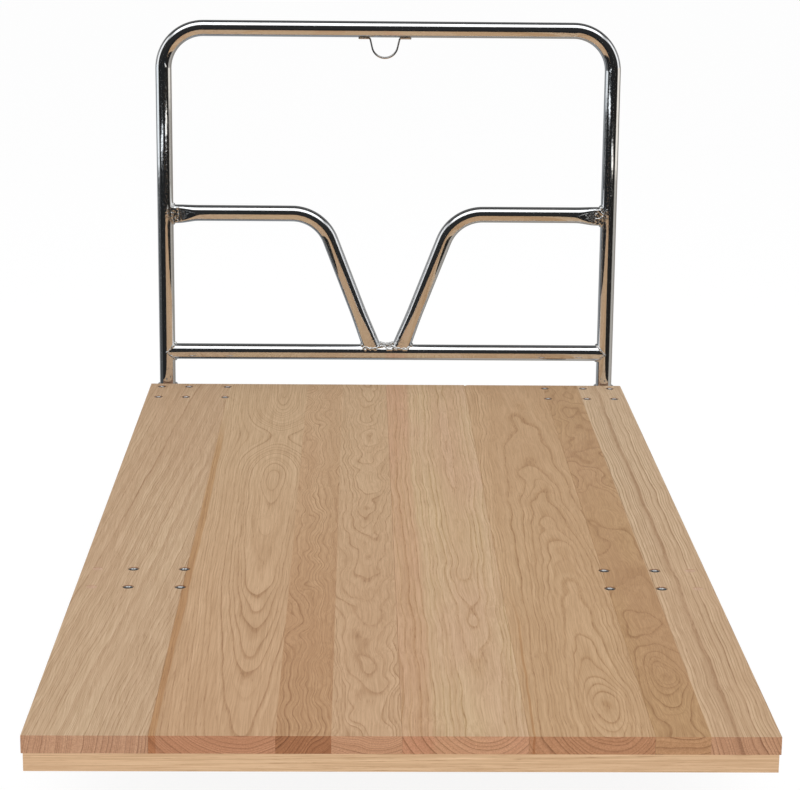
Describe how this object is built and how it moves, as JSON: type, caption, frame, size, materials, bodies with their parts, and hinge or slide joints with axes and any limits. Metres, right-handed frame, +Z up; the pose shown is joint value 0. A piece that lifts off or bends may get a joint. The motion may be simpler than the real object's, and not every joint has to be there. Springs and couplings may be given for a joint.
{
  "type": "platform truck",
  "caption": "Flatbed platform truck: hardwood plank deck on rigid and swivel casters with a lift-out chromed tubular push handle with V brace and hanging loop.",
  "frame": {"origin": "on the floor, at the middle of the whole truck's outline, with the swivel wheels trailing towards the handle", "axes": "+X to the right across the deck, +Y from the deck's front edge to the handle, +Z up"},
  "size_m": [0.762, 1.5706, 0.7868],
  "materials": {
    "deck_board_1": "clear satin varnish",
    "deck_board_2": "clear satin varnish",
    "deck_board_3_narrow": "clear satin varnish",
    "deck_board_3_wide": "clear satin varnish",
    "deck_board_4": "clear satin varnish",
    "deck_board_5": "clear satin varnish",
    "deck_board_6_narrow": "clear satin varnish",
    "deck_board_6_wide": "clear satin varnish",
    "front_cleat": "clear satin varnish",
    "fore_cleat": "clear satin varnish",
    "aft_cleat": "clear satin varnish",
    "rear_cleat": "clear satin varnish",
    "hole_plugs": "clear satin varnish",
    "zinc_fasteners": "bright zinc",
    "zinc_sheet": "zinc plated sheet",
    "chrome_tube": "polished chrome plate",
    "tyre_rubber": "matt black",
    "wheel_core": "moulded grey",
    "wheel_bush": "sintered"
  },
  "bodies": {
    "deck": {"deck_board_1": "deck_board_1", "deck_board_2": "deck_board_2", "deck_board_3_narrow": "deck_board_3_narrow", "deck_board_3_wide": "deck_board_3_wide", "deck_board_4": "deck_board_4", "deck_board_5": "deck_board_5", "deck_board_6_narrow": "deck_board_6_narrow", "deck_board_6_wide": "deck_board_6_wide", "hole_plugs": "hole_plugs", "front_cleat": "front_cleat", "fore_cleat": "fore_cleat", "aft_cleat": "aft_cleat", "rear_cleat": "rear_cleat", "cleat_screws": "zinc_fasteners", "caster_bolts": "zinc_fasteners", "caster_nuts": "zinc_fasteners", "bracket_bolts": "zinc_fasteners", "bracket_nuts": "zinc_fasteners", "socket_bracket_left": "zinc_sheet", "socket_bracket_right": "zinc_sheet", "handle_socket_left": "zinc_sheet", "handle_socket_right": "zinc_sheet", "rigid_fork_left": "zinc_sheet", "rigid_fork_right": "zinc_sheet", "rigid_axle_bolts": "zinc_fasteners", "rigid_axle_nuts": "zinc_fasteners", "swivel_plate_left": "zinc_sheet", "swivel_plate_right": "zinc_sheet", "kingpin_left": "zinc_fasteners", "kingpin_right": "zinc_fasteners", "race_balls_left": "zinc_fasteners", "race_balls_right": "zinc_fasteners"},
    "handle": {"handle_hoop": "chrome_tube", "handle_crossbar": "chrome_tube", "handle_brace_left": "chrome_tube", "handle_brace_right": "chrome_tube", "hanging_strap": "chrome_tube"},
    "rear_left_fork": {"swivel_fork_left": "zinc_sheet", "swivel_axle_bolt_left": "zinc_fasteners", "swivel_axle_nut_left": "zinc_fasteners"},
    "rear_right_fork": {"swivel_fork_right": "zinc_sheet", "swivel_axle_bolt_right": "zinc_fasteners", "swivel_axle_nut_right": "zinc_fasteners"},
    "front_left_wheel": {"front_left_tyre": "tyre_rubber", "front_left_wheel_core": "wheel_core", "front_left_wheel_bush": "wheel_bush"},
    "front_right_wheel": {"front_right_tyre": "tyre_rubber", "front_right_wheel_core": "wheel_core", "front_right_wheel_bush": "wheel_bush"},
    "rear_left_wheel": {"rear_left_tyre": "tyre_rubber", "rear_left_wheel_core": "wheel_core", "rear_left_wheel_bush": "wheel_bush"},
    "rear_right_wheel": {"rear_right_tyre": "tyre_rubber", "rear_right_wheel_core": "wheel_core", "rear_right_wheel_bush": "wheel_bush"}
  },
  "joints": [
    {"name": "handle_lift", "type": "slide", "parent": "deck", "child": "handle", "axis": [0, 0, 1], "range_m": [0, 0.1]},
    {"name": "rear_left_swivel", "type": "hinge", "parent": "deck", "child": "rear_left_fork", "pos_m": [-0.2875, 0.68375, 0.155], "axis": [0, 0, 1], "continuous": true},
    {"name": "rear_right_swivel", "type": "hinge", "parent": "deck", "child": "rear_right_fork", "pos_m": [0.2875, 0.68375, 0.155], "axis": [0, 0, 1], "continuous": true},
    {"name": "rear_left_wheel_spin", "type": "hinge", "parent": "rear_left_fork", "child": "rear_left_wheel", "pos_m": [-0.2875, 0.72175, 0.0635], "axis": [1, 0, 0], "continuous": true},
    {"name": "rear_right_wheel_spin", "type": "hinge", "parent": "rear_right_fork", "child": "rear_right_wheel", "pos_m": [0.2875, 0.72175, 0.0635], "axis": [1, 0, 0], "continuous": true},
    {"name": "front_left_wheel_spin", "type": "hinge", "parent": "deck", "child": "front_left_wheel", "pos_m": [-0.2875, -0.27725, 0.0635], "axis": [1, 0, 0], "continuous": true},
    {"name": "front_right_wheel_spin", "type": "hinge", "parent": "deck", "child": "front_right_wheel", "pos_m": [0.2875, -0.27725, 0.0635], "axis": [1, 0, 0], "continuous": true}
  ]
}
